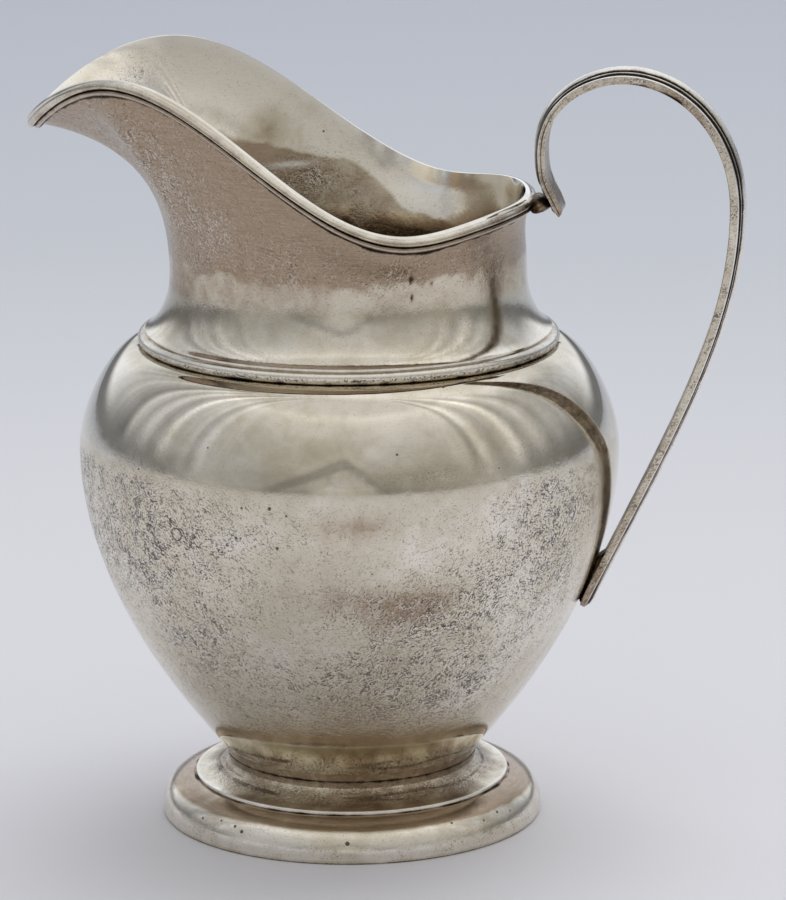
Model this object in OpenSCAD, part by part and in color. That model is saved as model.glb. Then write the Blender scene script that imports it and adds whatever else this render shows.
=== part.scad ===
// Cream jug in raised sheet silver: round bowl on a stepped foot, waisted neck drawn out into a
// drooping spout, reeded wire round the lip and a looped strap handle, all soldered into one body.
// Millimetres. Origin at the centre of the foot on the table, +Z up, spout to -X, handle to +X.

/* [Bowl] */
// Outer diameter at the belly
bowl_d = 77.2; // [74:0.2:80]
// Height of the belly above the table
belly_z = 54.5; // [52.5:0.5:56.5]
// Height of the flat seat that the neck stands on
seat_z = 69.6; // [68:0.2:72]
// Lowest point of the rounded bottom, inside the foot
bottom_z = 5.2; // [4.6:0.1:5.6]
// Sheet thickness of the bowl
bowl_wall = 0.9; // [0.7:0.05:1.2]
// How long the side stays upright above the belly
belly_lift = 7; // [5:0.5:9]
// How long the side stays upright below the belly
belly_drop = 18; // [15:0.5:21]
// How far the shoulder runs level before the seat
shoulder_run = 3.2; // [2:0.2:5]
// Lean of the side where it leaves the foot, above level
waist_angle = 48; // [44:1:52]
// How long the side keeps that lean
waist_run = 14; // [11:0.5:17]

/* [Foot] */
// Largest diameter of the foot ring
foot_d = 54.9; // [53:0.1:57]
// Height of the foot ring
ring_h = 5.75; // [5.4:0.05:6]
// Height of the ring's widest line
ring_edge_z = 1.1; // [0.8:0.1:1.8]
// Width of the flat on which the jug stands
rest_w = 1.3; // [1:0.1:1.8]
// Diameter of the step above the ring
step_d = 45.3; // [44.4:0.1:46]
// Height of the step's riser
step_h = 0.55; // [0.4:0.05:0.7]
// Diameter where the bowl is soldered to the foot
waist_d = 34.8; // [33.6:0.2:36]
// Height where the bowl is soldered to the foot
waist_z = 9.3; // [8.9:0.1:9.8]
// Sheet thickness of the foot
foot_wall = 0.8; // [0.6:0.05:1]

/* [Neck] */
// Smallest diameter of the neck
neck_d = 50.8; // [49.6:0.2:52]
// Height of the smallest diameter above the seat
neck_rise = 10.6; // [9:0.2:12]
// Diameter of the neck's flange on the seat
flange_d = 58; // [57:0.2:59]
// Height of the flange's edge
flange_h = 2.1; // [1.9:0.1:2.4]
// Width of the flange's underside on the seat
flange_w = 1.6; // [1.4:0.1:2]
// Sheet thickness of the neck
neck_wall = 0.9; // [0.7:0.05:1]
// Thickness of the half-round girdle wire round the flange
girdle_h = 1.75; // [1.5:0.05:1.9]
// How far the girdle wire stands out from the flange
girdle_out = 1.08; // [0.95:0.01:1.25]

/* [Mouth and spout] */
// From the axis to the lip on the handle side
mouth_back = 26.2; // [25.8:0.1:26.8]
// Half width of the mouth across the axis
mouth_side = 28.8; // [27.8:0.1:29.8]
// From the axis to the end of the spout
spout_reach = 45.6; // [43:0.2:48]
// How far the sides run on towards the spout
spout_side_run = 22; // [19:0.5:25]
// Roundness of the spout's nose
spout_nose = 14; // [12:0.5:16]
// Height of the lip above the seat at the handle
lip_back_h = 21.4; // [20.8:0.1:22]
// Height of the lip above the seat at its lowest
lip_low_h = 19.8; // [19.2:0.1:20.4]
// Height of the lip above the seat at the crest of the spout
lip_crest_h = 39.8; // [38:0.2:42]
// Height of the lip above the seat at the end of the spout
lip_tip_h = 31; // [29.6:0.2:32.6]
// From the axis towards the handle to the lowest lip
lip_low_x = 12.5; // [10.5:0.5:14.5]
// From the axis towards the spout to the crest
lip_crest_x = 29.5; // [28:0.5:31]
// Lean of the lip outwards round the mouth
lip_flare = 14; // [8:1:20]
// Lean of the lip outwards at the end of the spout
tip_flare = 80; // [72:1:86]

/* [Rim wire] */
// Height of the reeded wire under the lip
wire_h = 2; // [1.6:0.1:2.4]
// Thickness of the reeded wire
wire_t = 0.9; // [0.7:0.05:1.1]
// Depth of the groove between the two reeds
wire_groove = 0.4; // [0.2:0.05:0.5]

/* [Handle] */
// Width of the strap over the loop
strap_w = 8.4; // [7.6:0.2:9]
// Thickness at the strap's two edges
strap_edge = 1.2; // [1.1:0.05:1.4]
// Rise from the edges to the grooves beside the middle reed
strap_step = 0.1; // [0.05:0.05:0.2]
// Bulge of the reeds beside the middle one
reed_rise = 0.4; // [0.3:0.05:0.5]
// Bulge of the middle reed
crown_rise = 0.85; // [0.7:0.05:1]
// Width of the lands along the edges
edge_reed_w = 1.1; // [1:0.1:1.3]
// Width of the reeds beside the middle one
side_reed_w = 1.4; // [1.2:0.1:1.6]
// Hollow of the strap's inner face
strap_hollow = 0.15; // [0.1:0.05:0.25]
// Size of the strap at its foot against the loop
foot_taper = 0.8; // [0.74:0.02:0.86]
// Size of the strap over the lip against the loop
curl_taper = 0.84; // [0.8:0.02:0.9]
// Width of the free end's rounded tip against the strap
tip_w = 0.7; // [0.6:0.05:0.85]
// From the belly to the middle of the strap at its widest
handle_out = 16.8; // [15:0.2:18]
// From the lip at the handle up to the middle of the strap at the top
loop_rise = 17.6; // [16.4:0.2:19]
// From the lip at the handle up to where the loop stands upright
upright_rise = 6.5; // [6:0.5:7.5]
// From the rim wire out to the middle of the strap's free end
curl_out = 3.2; // [3:0.1:3.6]
// From the lip at the handle down to the strap's free end
curl_drop = 2.6; // [2.3:0.1:3]
// From the lip at the handle down to the widest part of the loop
wide_drop = 1; // [0:0.5:3]
// Place of the handle's foot on the side of the bowl, from waist to belly
handle_foot = 0.57; // [0.54:0.005:0.59]
// Lean of the handle's foot away from the bowl
foot_lean = 1; // [0.5:0.5:4]
// Thickness of solder left in the joints
solder_t = 0.15; // [0.1:0.05:0.2]
// Height of solder behind the handle's foot
foot_solder_h = 7; // [6:0.5:8]

/* [Hidden] */
$fn = 96;
silver = [0.76, 0.74, 0.70];
solder = [0.45, 0.40, 0.34];
bowl_r = bowl_d / 2;
waist_r = waist_d / 2;
flange_r = flange_d / 2;
girdle_r = flange_r + girdle_out;
neck_r = neck_d / 2;
neck_z = seat_z + neck_rise;
lip_back_z = seat_z + lip_back_h;
ring_r = foot_d / 2;
step_r = step_d / 2;
step_z = ring_h + step_h;
// Steps along each profile curve, along the lip and along the strap
curve_n = 14;
lip_n = 96;
neck_low_n = 5;
neck_up_n = 9;
reed_n = 4;

// Curves: four points make one cubic curve in a plane
function mix(a, b, t) = a + (b - a) * t;
function ease(t) = let (c = min(max(t, 0), 1)) c * c * (3 - 2 * c);
function curve(p, t) =
    let (s = 1 - t) s * s * s * p[0] + 3 * s * s * t * p[1] + 3 * s * t * t * p[2] + t * t * t * p[3];
function heading(p, t) =
    let (s = 1 - t, v = s * s * (p[1] - p[0]) + 2 * s * t * (p[2] - p[1]) + t * t * (p[3] - p[2]))
    v / norm(v);
function left_of(v) = [-v[1], v[0]];
// A point on the curve, or beside it on the left
function beside(p, t, d) = curve(p, t) + d * left_of(heading(p, t));
function trace(p, n, d, first = 0) = [for (i = [first:n]) beside(p, i / n, d)];
function backward(list) = [for (i = [len(list) - 1:-1:0]) list[i]];
function polar(angle) = [cos(angle), sin(angle)];

// Outline of the bowl, from the middle of the bottom up to the seat
waist = [waist_r, waist_z];
waist_dir = polar(waist_angle);
belly = [bowl_r, belly_z];
bottom_curve = [[0, bottom_z], [waist_r * 0.5, bottom_z], waist - waist_run / 3.5 * waist_dir, waist];
side_curve = [waist, waist + waist_run * waist_dir, belly - [0, belly_drop], belly];
shoulder_curve = [belly, belly + [0, belly_lift], [girdle_r + shoulder_run, seat_z], [girdle_r, seat_z]];
function bowl_face(d) =
    concat(trace(bottom_curve, curve_n, d), trace(side_curve, curve_n, d, 1),
           trace(shoulder_curve, curve_n, d, 1));

module bowl_body() {
    rotate_extrude()
        polygon(concat(bowl_face(0), [[0, seat_z]]));
}

module bowl() {
    mouth_r = flange_r - flange_w;
    color(silver)
    rotate_extrude()
        polygon(concat(bowl_face(0), [[mouth_r, seat_z], [mouth_r, seat_z - bowl_wall]],
                       backward(bowl_face(bowl_wall))));
}

// Hollow cove from the bowl's waist out to the step
cove_curve = [[step_r - foot_wall / 2, step_z], [mix(step_r, waist_r, 0.5), step_z],
              [mix(waist_r, step_r, 0.1), mix(waist_z, step_z, 0.67)], waist];

module foot_spool() {
    seam = waist - foot_wall * 1.25 * polar(waist_angle - 4);
    color(silver)
    rotate_extrude()
        polygon(concat([[step_r - foot_wall, ring_h], [step_r, ring_h], [step_r, step_z - foot_wall / 4]],
                       trace(cove_curve, curve_n, 0), [seam],
                       backward([for (i = [0:curve_n - 2]) beside(cove_curve, i / curve_n, foot_wall)])));
}

module foot_ring() {
    top = [step_r + foot_wall * 0.3, ring_h];
    edge = [ring_r, ring_edge_z];
    bulge = [top, [mix(step_r, ring_r, 0.6), ring_h - foot_wall * 0.4],
             [ring_r, mix(ring_edge_z, ring_h, 0.6)], edge];
    rest_r = ring_r - foot_wall * 0.3;
    color(silver)
    rotate_extrude()
        polygon(concat(trace(bulge, curve_n, 0), [[rest_r, 0], [rest_r - rest_w, 0]],
                       [for (i = [curve_n - 1:-1:2]) beside(bulge, i / curve_n, -foot_wall)],
                       [[step_r - foot_wall, ring_h - foot_wall], [step_r - foot_wall, ring_h]]));
}

// Fillet of solder in the corner between the bowl and the cove
module foot_solder() {
    color(solder)
    rotate_extrude()
        polygon([waist, beside(cove_curve, 0.8, -0.01),
                 mix(curve(cove_curve, 0.86), curve(side_curve, 0.02), 0.5) + solder_t * [0.7, -0.7],
                 beside(side_curve, 0.035, -0.01)]);
}

module girdle_wire() {
    color(silver)
    rotate_extrude()
        intersection() {
            translate([girdle_r - girdle_h / 2, seat_z + girdle_h / 2])
                circle(d = girdle_h);
            translate([flange_r, seat_z])
                square([girdle_out + girdle_h, girdle_h]);
        }
}

// Plan of the lip: half an oval behind the axis, drawn out to the spout in front of it.
// The turn runs from 0 at the handle through 180 at the spout to 360.
spout_plan = [[0, mouth_side], [-spout_side_run, mouth_side], [-spout_reach, spout_nose], [-spout_reach, 0]];
function lip_half(turn) =
    turn <= 90 ? [mouth_back * cos(turn), mouth_side * sin(turn)] : curve(spout_plan, turn / 90 - 1);
function lip_plan(turn) =
    turn <= 180 ? lip_half(turn) : let (p = lip_half(360 - turn)) [p[0], -p[1]];
// Height of the lip: level behind, up to a crest on each side of the spout, down to its end
function lip_h(x) =
    x > lip_low_x ? mix(lip_low_h, lip_back_h, ease((x - lip_low_x) / (mouth_back - lip_low_x)))
    : x > -lip_crest_x ? mix(lip_low_h, lip_crest_h, ease((lip_low_x - x) / (lip_low_x + lip_crest_x)))
    : mix(lip_crest_h, lip_tip_h, pow((-lip_crest_x - x) / (spout_reach - lip_crest_x), 2));
function lip_lean(x) = mix(lip_flare, tip_flare, ease((-lip_crest_x - x) / (spout_reach - lip_crest_x)));

// One upright cut through the neck: the lip, the line under the wire and the curve of the throat
function lip_at(plan) = [norm(plan), seat_z + lip_h(plan[0])];
function lip_up(plan) = let (a = lip_lean(plan[0])) [sin(a), cos(a)];
function throat(plan) =
    let (foot = [neck_r, neck_z], up = lip_up(plan), end = lip_at(plan) - wire_h * up, run = norm(end - foot))
    [foot, foot + [0, 0.45 * run], end - 0.4 * run * up, end];
flare_curve = [[flange_r, seat_z + flange_h], [flange_r - flange_w * 1.1, seat_z + flange_h * 1.43],
               [neck_r, neck_z - neck_rise * 0.415], [neck_r, neck_z]];
function neck_cut(plan) =
    let (up = lip_up(plan), lip = lip_at(plan), t = throat(plan), inner_r = flange_r - flange_w)
    concat([[flange_r, seat_z]], trace(flare_curve, neck_low_n, 0), trace(t, neck_up_n, 0, 1), [lip],
           [lip + neck_wall * left_of(up)], backward(trace(t, neck_up_n, neck_wall, 1)),
           backward(trace(flare_curve, neck_low_n, neck_wall, 1)),
           [[inner_r, seat_z + flange_h * 0.8], [inner_r, seat_z]]);

// Stands a flat list of radius and height up at the plan point's bearing
function stand(plan, cut) = [for (p = cut) [p[0] * plan[0] / norm(plan), p[0] * plan[1] / norm(plan), p[1]]];

// Skins a row of equal loops, closed in a ring or capped at both ends
module skin(loops, ring) {
    n = len(loops);
    m = len(loops[0]);
    points = [for (loop = loops) each loop];
    sides = [for (i = [0:(ring ? n : n - 1) - 1], j = [0:m - 1])
        let (a = i * m + j, b = i * m + (j + 1) % m, c = ((i + 1) % n) * m + (j + 1) % m,
             d = ((i + 1) % n) * m + j)
        each [[a, b, c], [a, c, d]]];
    caps = ring ? [] : [[for (j = [m - 1:-1:0]) j], [for (j = [0:m - 1]) (n - 1) * m + j]];
    polyhedron(points, concat(sides, caps), convexity = 8);
}

lip_turns = [for (i = [0:lip_n - 1]) i * 360 / lip_n];

module neck_spout() {
    color(silver)
    skin([for (turn = lip_turns) let (plan = lip_plan(turn)) stand(plan, neck_cut(plan))], true);
}

// One rounded reed between two grooves, without its last point
function reed(from, to, rise) =
    [for (i = [0:reed_n - 1]) mix(from, to, i / reed_n) + rise * sin(180 * i / reed_n) * left_of(to - from)
        / norm(to - from)];

module rim_wire() {
    waist_t = wire_t - wire_groove;
    half = wire_h / 2;
    face = concat(reed([wire_h, waist_t], [half, waist_t], -wire_groove), reed([half, waist_t], [0, waist_t],
                  -wire_groove), [[0, waist_t]]);
    section = concat([[0, 0], [wire_h, 0]], face);
    color(silver)
    skin([for (turn = lip_turns)
        let (plan = lip_plan(turn), up = lip_up(plan), foot = lip_at(plan) - wire_h * up)
        stand(plan, backward([for (p = section) foot + p[0] * up - p[1] * left_of(up)]))], true);
}

// Middle line of the strap in the XZ plane, from its free end over the loop to its foot on the bowl
strap_t = strap_edge + strap_step + crown_rise;
foot_t = strap_t * foot_taper;
wire_x = mouth_back + wire_t;
upright_x = wire_x + strap_t * 0.22;
loop_x = bowl_r + handle_out;
top_x = mix(upright_x, loop_x, 0.426);
top_z = lip_back_z + loop_rise;
wide_z = lip_back_z - wide_drop;
curl_end = [wire_x + curl_out, lip_back_z - curl_drop];
upright = [upright_x, lip_back_z + upright_rise];
top = [top_x, top_z];
wide = [loop_x, wide_z];
foot_away = heading(side_curve, handle_foot);
foot_mid = curve(side_curve, handle_foot) - (solder_t + foot_t / 2) * left_of(foot_away);
foot_dir = let (a = atan2(foot_away[1], foot_away[0]) - foot_lean) polar(a);
strap_line = [
    [curl_end, curl_end + curl_drop * [-0.59, 1.56], upright - [0, upright_rise * 0.8], upright],
    [upright, upright + [0, loop_rise * 0.444], top - [loop_rise * 0.265, 0], top],
    [top, top + [loop_rise * 0.48, 0], wide + [0, loop_rise * 0.616], wide],
    [wide, wide - [0, loop_rise * 0.97], foot_mid + loop_rise * 1.54 * foot_dir, foot_mid]];
// Size of the strap at the ends of each curve
strap_sizes = [curl_taper, curl_taper, mix(curl_taper, 1, 0.6), 1, foot_taper];
strap_steps = [12, 10, 13, 19];

// Cross cut of the strap: a land along each edge, three reeds between them and a hollow inner face
function strap_cut(size) =
    let (w = strap_w / 2, a = w - edge_reed_w, b = a - side_reed_w,
         h0 = strap_edge, h1 = h0 - strap_hollow, h2 = h0 + strap_step)
    size * concat(reed([-w, h0], [-a, h1], strap_hollow), reed([-a, h1], [-b, h2], reed_rise),
                  reed([-b, h2], [b, h2], crown_rise), reed([b, h2], [a, h1], reed_rise),
                  reed([a, h1], [w, h0], strap_hollow),
                  [[w, h0], [w, 0], [w / 2, strap_hollow], [-w / 2, strap_hollow], [-w, 0]])
    - [for (i = [0:5 * reed_n + 4]) [0, size * strap_t / 2]];

function strap_loop(k, t) =
    let (p = curve(strap_line[k], t), n = left_of(heading(strap_line[k], t)),
         size = mix(strap_sizes[k], strap_sizes[k + 1], t),
         narrow = k > 0 ? 1 : mix(tip_w, 1, sin(90 * min(t / 0.2, 1))))
    [for (c = strap_cut(size)) [p[0] + c[1] * n[0], c[0] * narrow, p[1] + c[1] * n[1]]];
function strap_part(k) = [for (i = [k == 0 ? 0 : 1:strap_steps[k]]) strap_loop(k, i / strap_steps[k])];

module handle_strap() {
    color(silver)
    skin([for (k = [0:3]) each strap_part(k)], false);
}

// Bar of solder across the strap where it bears on the rim wire, cut to both
module lip_solder() {
    back_r = mouth_side * mouth_side / mouth_back + wire_t;
    bar_d = curl_out * 0.8;
    bar_z = lip_back_z - wire_h * 0.55;
    color(solder)
    difference() {
        translate([wire_x + curl_out / 4, 0, bar_z])
            rotate([90, 0, 0])
            cylinder(d = bar_d, h = (strap_w - edge_reed_w) * curl_taper, center = true);
        translate([wire_x - back_r, 0, bar_z - bar_d])
            cylinder(r = back_r + 0.01, h = 2 * bar_d);
        skin([for (i = [0:8]) strap_loop(0, i / strap_steps[0])], false);
    }
}

// Wedge of solder between the bowl and the strap's foot
module handle_solder() {
    w = (strap_w - strap_edge) * foot_taper;
    line = strap_line[3];
    color(solder)
    difference() {
        rotate([90, 0, 0])
            linear_extrude(w, center = true)
            polygon(concat([for (i = [0:5]) beside(line, 1 - i * 0.022, -foot_t / 2)],
                           [[bowl_r - foot_solder_h * 0.67, foot_mid[1] + foot_solder_h],
                            [waist_r, foot_mid[1] - solder_t]]));
        bowl_body();
    }
}

bowl();
neck_spout();
rim_wire();
girdle_wire();
foot_spool();
foot_ring();
foot_solder();
handle_strap();
lip_solder();
handle_solder();
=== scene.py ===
"""Old silver cream jug on a pale table: raised sheet, reeded wires, solder and tarnish.

Lengths in the shape code are millimetres, like the part's own values; meshes are made in metres.
"""
import math

import bpy
import numpy as np
from mathutils import Matrix, Vector, noise


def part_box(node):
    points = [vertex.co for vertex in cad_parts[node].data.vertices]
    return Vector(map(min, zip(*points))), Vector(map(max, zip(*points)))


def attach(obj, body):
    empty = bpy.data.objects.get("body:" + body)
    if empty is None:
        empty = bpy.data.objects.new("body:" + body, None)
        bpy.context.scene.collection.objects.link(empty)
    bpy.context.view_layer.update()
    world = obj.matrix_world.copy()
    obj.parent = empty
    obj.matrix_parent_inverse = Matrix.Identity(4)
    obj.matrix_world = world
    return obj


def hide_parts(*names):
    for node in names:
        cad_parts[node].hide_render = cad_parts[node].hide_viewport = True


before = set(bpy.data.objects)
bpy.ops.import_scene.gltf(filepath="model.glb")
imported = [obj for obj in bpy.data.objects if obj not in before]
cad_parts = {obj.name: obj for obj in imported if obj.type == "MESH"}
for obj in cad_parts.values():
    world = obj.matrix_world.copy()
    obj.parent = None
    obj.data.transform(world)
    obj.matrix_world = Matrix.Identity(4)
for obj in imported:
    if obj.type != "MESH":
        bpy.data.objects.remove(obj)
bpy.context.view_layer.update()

MM = 0.001

# Sizes read from the frame


def corners(node):
    low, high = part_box(node)
    return np.array(low) / MM, np.array(high) / MM


bowl_low, bowl_high = corners("bowl")
ring_low, ring_high = corners("foot_ring")
spool_low, spool_high = corners("foot_spool")
girdle_low, girdle_high = corners("girdle_wire")
neck_low, neck_high = corners("neck_spout")
wire_high = corners("rim_wire")[1]
strap_low, strap_high = corners("handle_strap")

bowl_r = (bowl_high[0] - bowl_low[0]) / 2
bottom_z = bowl_low[2]
seat_z = bowl_high[2]
ring_r = (ring_high[0] - ring_low[0]) / 2
ring_h = ring_high[2]
step_r = (spool_high[0] - spool_low[0]) / 2
waist_z = spool_high[2]
girdle_r = (girdle_high[0] - girdle_low[0]) / 2
girdle_h = girdle_high[2] - girdle_low[2]
spout_reach = -neck_low[0]
lip_crest_h = neck_high[2] - seat_z
strap_w = strap_high[1] - strap_low[1]

# Sizes that no box shows
belly_z, belly_lift, belly_drop, shoulder_run = 54.5, 7.0, 18.0, 3.2
waist_r, waist_angle, waist_run = 17.4, 48.0, 14.0
bowl_wall, foot_wall, neck_wall = 0.9, 0.8, 0.9
ring_edge_z, rest_w, step_h = 1.1, 1.3, 0.55
neck_r, neck_rise = 25.4, 10.6
flange_r, flange_h, flange_w = 29.0, 2.1, 1.6
mouth_side, spout_side_run, spout_nose = 28.8, 22.0, 14.0
lip_back_h, lip_low_h, lip_tip_h = 21.4, 19.8, 31.0
lip_low_x, lip_crest_x = 12.5, 29.5
lip_flare, tip_flare = 14.0, 80.0
wire_t, wire_h, wire_groove, lip_round = 0.9, 2.0, 0.4, 0.16
strap_edge, strap_step, reed_rise, crown_rise = 1.2, 0.1, 0.4, 0.85
edge_reed_w, side_reed_w, strap_hollow = 1.1, 1.4, 0.15
foot_taper, curl_taper, tip_w = 0.8, 0.84, 0.7
handle_out, loop_rise, upright_rise = 16.8, 17.6, 6.5
curl_out, curl_drop, wide_drop = 3.2, 2.6, 1.0
handle_foot, foot_lean, solder_t = 0.57, 1.0, 0.15

step_z = ring_h + step_h
neck_z = seat_z + neck_rise
throat_r = flange_r - flange_w
lip_back_z = seat_z + lip_back_h
mouth_back = wire_high[0] - wire_t
strap_t = strap_edge + strap_step + crown_rise

# Steps round a turned piece, and round the neck
AROUND = 288
TURNS = 360

# The camera's bearing, used to place stains on the side that it sees
BEARING = 7.0
RIGHT = np.array([math.cos(math.radians(BEARING)), math.sin(math.radians(BEARING)), 0])
FRONT = np.array([math.sin(math.radians(BEARING)), -math.cos(math.radians(BEARING)), 0])


def around(bearing, r, z):
    """Point at a radius and height, at a bearing from the side that the camera sees."""
    turn = math.radians(bearing)
    return r * (math.sin(turn) * RIGHT + math.cos(turn) * FRONT) + np.array([0, 0, z])


# Curves


def polar(angle):
    return np.array([math.cos(math.radians(angle)), math.sin(math.radians(angle))])


def mix(a, b, t):
    return a + (b - a) * t


def ease(t):
    c = np.clip(t, 0, 1)
    return c * c * (3 - 2 * c)


def bump(d, width):
    """Soft bell that falls away over a width."""
    return np.exp(-(np.asarray(d, float) / width) ** 2)


def curve(p, t):
    t = np.asarray(t, float)[..., None]
    s = 1 - t
    return s**3 * p[0] + 3 * s * s * t * p[1] + 3 * s * t * t * p[2] + t**3 * p[3]


def heading(p, t):
    t = np.asarray(t, float)[..., None]
    s = 1 - t
    v = s * s * (p[1] - p[0]) + 2 * s * t * (p[2] - p[1]) + t * t * (p[3] - p[2])
    return v / np.linalg.norm(v, axis=-1, keepdims=True)


def left_of(v):
    return np.stack([-v[..., 1], v[..., 0]], -1)


def trace(p, n, offset=0.0, first=0):
    t = np.linspace(0, 1, n + 1)[first:]
    return curve(p, t) + offset * left_of(heading(p, t))


def points(*rows):
    return np.array(rows, float)


waist = np.array([waist_r, waist_z])
bottom_curve = points([0, bottom_z], [waist_r * 0.5, bottom_z],
                      waist - waist_run / 3.5 * polar(waist_angle), waist)
side_curve = points(waist, waist + waist_run * polar(waist_angle),
                    [bowl_r, belly_z - belly_drop], [bowl_r, belly_z])
shoulder_curve = points([bowl_r, belly_z], [bowl_r, belly_z + belly_lift],
                        [girdle_r + shoulder_run, seat_z], [girdle_r, seat_z])
cove_curve = points([step_r - foot_wall / 2, step_z], [mix(step_r, waist_r, 0.5), step_z],
                    [mix(waist_r, step_r, 0.1), mix(waist_z, step_z, 0.67)], waist)
bulge_curve = points([step_r + foot_wall * 0.3, ring_h],
                     [mix(step_r, ring_r, 0.6), ring_h - foot_wall * 0.4],
                     [ring_r, mix(ring_edge_z, ring_h, 0.6)], [ring_r, ring_edge_z])
flare_curve = points([flange_r, seat_z + flange_h], [flange_r - flange_w * 1.1, seat_z + flange_h * 1.43],
                     [neck_r, neck_z - neck_rise * 0.415], [neck_r, neck_z])
spout_plan = points([0, mouth_side], [-spout_side_run, mouth_side],
                    [-spout_reach, spout_nose], [-spout_reach, 0])

# Meshes


def quads(rows, cols, closed):
    """Faces of a grid of vertices that closes round its columns, and round its rows too if closed."""
    i, j = np.meshgrid(np.arange(rows if closed else rows - 1), np.arange(cols), indexing="ij")
    i2, j2 = (i + 1) % rows, (j + 1) % cols
    corner = np.stack([i * cols + j, i2 * cols + j, i2 * cols + j2, i * cols + j2], -1)
    return corner.reshape(-1, 4).tolist()


def thing_of(name, data):
    """New object in the scene."""
    thing = bpy.data.objects.new(name, data)
    bpy.context.scene.collection.objects.link(thing)
    return thing


def piece(name, node, verts, faces, marks, material, crease=38):
    """One smooth mesh that stands for a node; marks are its per-vertex levels of tarnish, dirt and wear,
    with some painted shade, highlights and reflections.
    """
    mesh = bpy.data.meshes.new(name)
    mesh.from_pydata((np.asarray(verts) * MM).tolist(), [], faces)
    for key, level in marks.items():
        layer = mesh.attributes.new(key, "FLOAT", "POINT")
        levels = np.clip(np.broadcast_to(level, len(verts)), 0, 2)
        layer.data.foreach_set("value", levels.astype(np.float32))
    mesh.shade_smooth()
    mesh.set_sharp_from_angle(angle=math.radians(crease))
    mesh.materials.append(material)
    thing = thing_of(name, mesh)
    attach(thing, "root")
    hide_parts(node)


def lathe(profile, closed):
    """Turns a profile of radius and height round the axis. Points on the axis close to a pole."""
    turn = np.linspace(0, 2 * math.pi, AROUND, endpoint=False)
    on_axis = profile[:, 0] < 1e-6
    body = profile[~on_axis]
    n = len(body)
    verts = np.stack([np.outer(body[:, 0], np.cos(turn)), np.outer(body[:, 0], np.sin(turn)),
                      np.repeat(body[:, 1:], AROUND, 1)], -1).reshape(-1, 3)
    faces = [f[::-1] for f in quads(n, AROUND, closed)]
    poles = profile[on_axis]
    for k, pole in enumerate(poles):
        tip = len(verts)
        verts = np.vstack([verts, [0, 0, pole[1]]])
        row = 0 if k == 0 else (n - 1) * AROUND
        fan = [[tip, row + j, row + (j + 1) % AROUND] for j in range(AROUND)]
        faces += [f[::-1] for f in fan] if k == 0 else fan
    return verts, faces


def wander(verts, scale, seed):
    """Slow noise over a piece, about -1 to 1."""
    return np.array([noise.noise(Vector(v) * scale + Vector((seed, 0, 0))) for v in verts])


def facing(verts):
    """Bearing of each vertex from the side that the camera sees, in degrees, positive to the right."""
    return np.degrees(np.arctan2(verts @ RIGHT, verts @ FRONT))


def patches(verts, spots):
    """Sum of soft patches, each at a bearing and height with its half sizes and level."""
    bearing, z = facing(verts), verts[:, 2]
    total = np.zeros(len(verts))
    for at, height, wide, tall, level in spots:
        turn = (bearing - at + 180) % 360 - 180
        total += level * np.exp(-(turn / wide) ** 2 - ((z - height) / tall) ** 2)
    return total


def round_distance(verts, r, z):
    """Distance of each vertex from a level circle round the axis."""
    return np.hypot(np.hypot(verts[:, 0], verts[:, 1]) - r, verts[:, 2] - z)


# Node graphs


class Graph:
    """Node tree filled by short calls; a value is a number, a colour or the output of another node."""

    def __init__(self, tree):
        self.tree = tree
        tree.nodes.clear()

    def add(self, kind, values=(), **settings):
        node = self.tree.nodes.new(kind)
        for key, value in settings.items():
            setattr(node, key, value)
        for key, value in dict(values).items():
            if isinstance(value, bpy.types.NodeSocket):
                self.tree.links.new(value, node.inputs[key])
            else:
                node.inputs[key].default_value = value
        return node

    def math(self, operation, a, b=0.0, c=0.0, clamp=False):
        node = self.add("ShaderNodeMath", {0: a, 1: b, 2: c}, operation=operation, use_clamp=clamp)
        return node.outputs[0]

    def vector(self, operation, a, b=(0, 0, 0), scale=1.0, out=0):
        return self.add("ShaderNodeVectorMath", {0: a, 1: b, 3: scale}, operation=operation).outputs[out]

    def blend(self, factor, a, b):
        return self.add("ShaderNodeMix", {0: factor, 6: a, 7: b}, data_type="RGBA").outputs[2]

    def soft(self, value, low, high, to_low=0.0, to_high=1.0):
        """Smooth step from one value to another."""
        values = {"Value": value, "From Min": low, "From Max": high, "To Min": to_low, "To Max": to_high}
        return self.add("ShaderNodeMapRange", values, interpolation_type="SMOOTHSTEP").outputs[0]

    def noise(self, vector, scale, detail=2.0, roughness=0.5, distortion=0.0):
        values = {"Vector": vector, "Scale": scale, "Detail": detail, "Roughness": roughness,
                  "Distortion": distortion}
        return self.add("ShaderNodeTexNoise", values).outputs[0]

    def millimetres(self):
        """Place on the piece, in millimetres."""
        return self.vector("SCALE", self.add("ShaderNodeTexCoord").outputs["Object"], scale=1 / MM)

    def mark(self, name):
        return self.add("ShaderNodeAttribute", attribute_name=name).outputs["Fac"]

    def ramp(self, factor, stops, interpolation="LINEAR"):
        node = self.add("ShaderNodeValToRGB", {0: factor})
        node.color_ramp.interpolation = interpolation
        slots = node.color_ramp.elements
        while len(slots) < len(stops):
            slots.new(0.5)
        for slot, (at, level) in zip(slots, stops):
            slot.position = at
            slot.color = (*level, 1) if isinstance(level, tuple) else (level, level, level, 1)
        return node.outputs[0]

    def surface(self, values):
        shader = self.add("ShaderNodeBsdfPrincipled", values)
        self.add("ShaderNodeOutputMaterial", {"Surface": shader.outputs[0]})


def new_material(name):
    material = bpy.data.materials.new(name)
    material.use_nodes = True
    return material, Graph(material.node_tree)


# Old silver: clean metal, brown film, fine dark pitting, black dirt and painted shade in the seams and
# grooves, worn edges and painted highlights

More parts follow.
